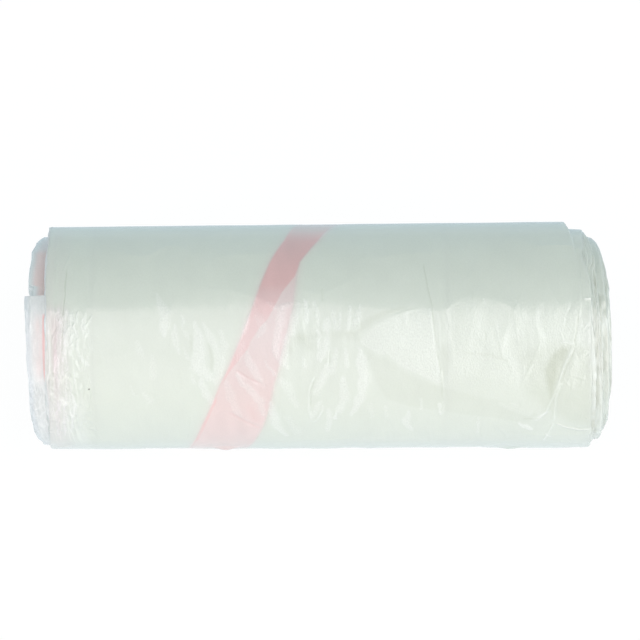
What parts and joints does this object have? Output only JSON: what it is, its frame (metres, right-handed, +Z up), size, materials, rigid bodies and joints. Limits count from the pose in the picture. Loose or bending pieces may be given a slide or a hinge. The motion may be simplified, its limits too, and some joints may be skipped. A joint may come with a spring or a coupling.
{
  "type": "roll of laundry bags",
  "caption": "Coreless roll of clear water-soluble film bags, folded into a narrow web and wound up, with slanting pink tie strips under the outer ply.",
  "frame": {"origin": "on the supporting surface, below the middle of the roll's bounding box", "axes": "+X along the roll's axis, towards the end whose turns step outwards; +Y to the back; +Z up"},
  "size_m": [0.1766, 0.07, 0.0691],
  "materials": {
    "film": "satin, milky clear film in many plies",
    "tie_strip": "pink film seen through a clear ply",
    "inner_tie_strip": "pink film between the turns"
  },
  "bodies": {
    "root": {"bag_roll": "film", "outer_tie_strip": "tie_strip", "inner_tie_strip": "inner_tie_strip"}
  },
  "joints": []
}
